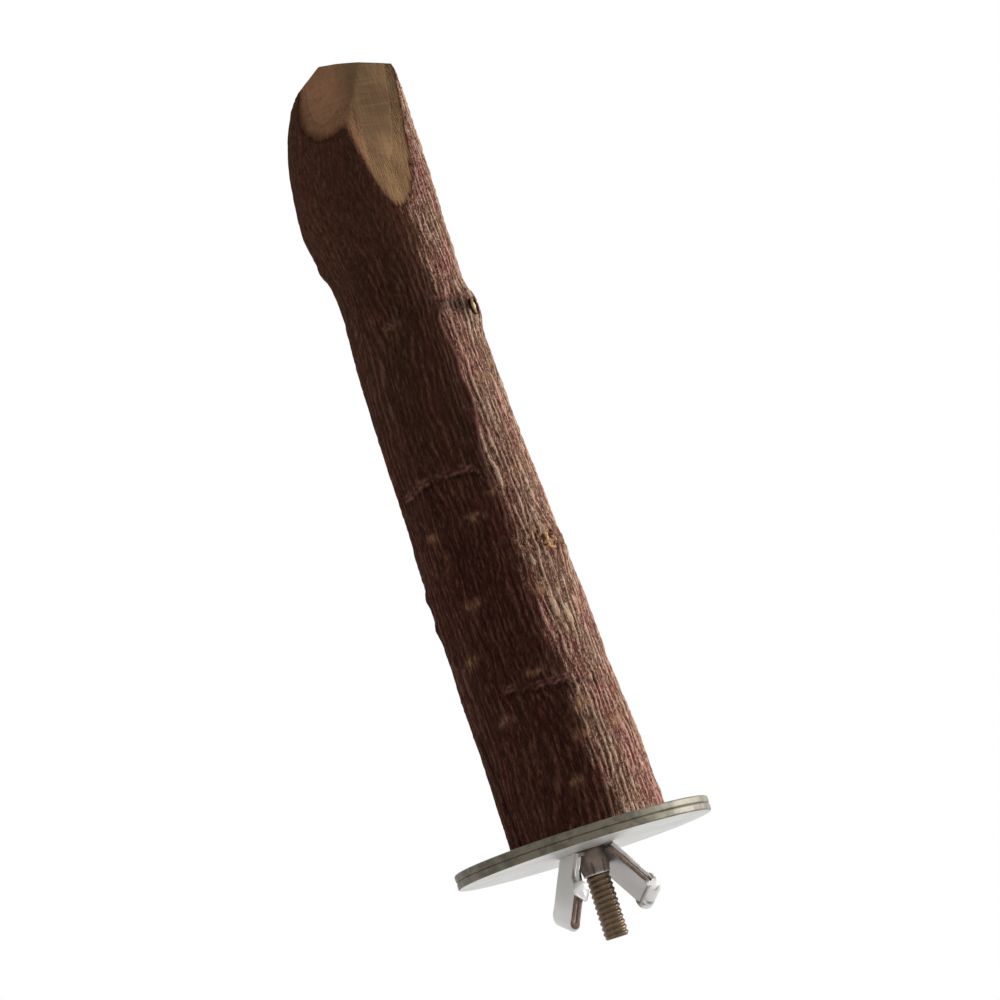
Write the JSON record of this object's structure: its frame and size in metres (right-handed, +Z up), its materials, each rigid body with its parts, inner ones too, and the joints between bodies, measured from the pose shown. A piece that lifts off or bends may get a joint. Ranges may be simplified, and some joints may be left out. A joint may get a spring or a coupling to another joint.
{
  "type": "bird perch",
  "caption": "Natural branch perch with whittled tip, clamped to cage bars between two wide washers by a wing nut on a threaded stud.",
  "frame": {"origin": "where the stud's axis crosses the plane in which the two clamp washers meet, which is where the cage bars are gripped", "axes": "+X along the stud, out of the cage; the branch runs towards -X; +Z up as the perch hangs on a cage wall"},
  "size_m": [0.1825, 0.0508, 0.0508],
  "materials": {
    "bare_wood": "knife-cut bare wood",
    "bark": "wrinkled dry bark",
    "yellow_zinc": "yellow zinc plate",
    "washer_zinc": "zinc plate",
    "nut_zinc": "bright zinc plate"
  },
  "bodies": {
    "perch": {"branch_wood": "bare_wood", "branch_bark": "bark", "hanger_bolt": "yellow_zinc"},
    "inner_washer": {"inner_washer": "washer_zinc"},
    "outer_washer": {"outer_washer": "washer_zinc"},
    "wing_nut": {"wing_nut": "nut_zinc"}
  },
  "joints": [
    {"name": "inner_washer_spin", "type": "hinge", "parent": "perch", "child": "inner_washer", "pos_m": [0, 0, -0.0008], "axis": [1, 0, 0], "continuous": true},
    {"name": "clamp_travel", "type": "slide", "parent": "perch", "child": "outer_washer", "axis": [1, 0, 0], "range_m": [0, 0.01164]},
    {"name": "nut_turn", "type": "hinge", "parent": "outer_washer", "child": "wing_nut", "pos_m": [0, 0, 0], "axis": [1, 0, 0], "range_deg": [0, 3960]}
  ],
  "couplings": [
    {"joint": "nut_turn", "follows": "clamp_travel", "rad_per_m": 5937.1}
  ]
}
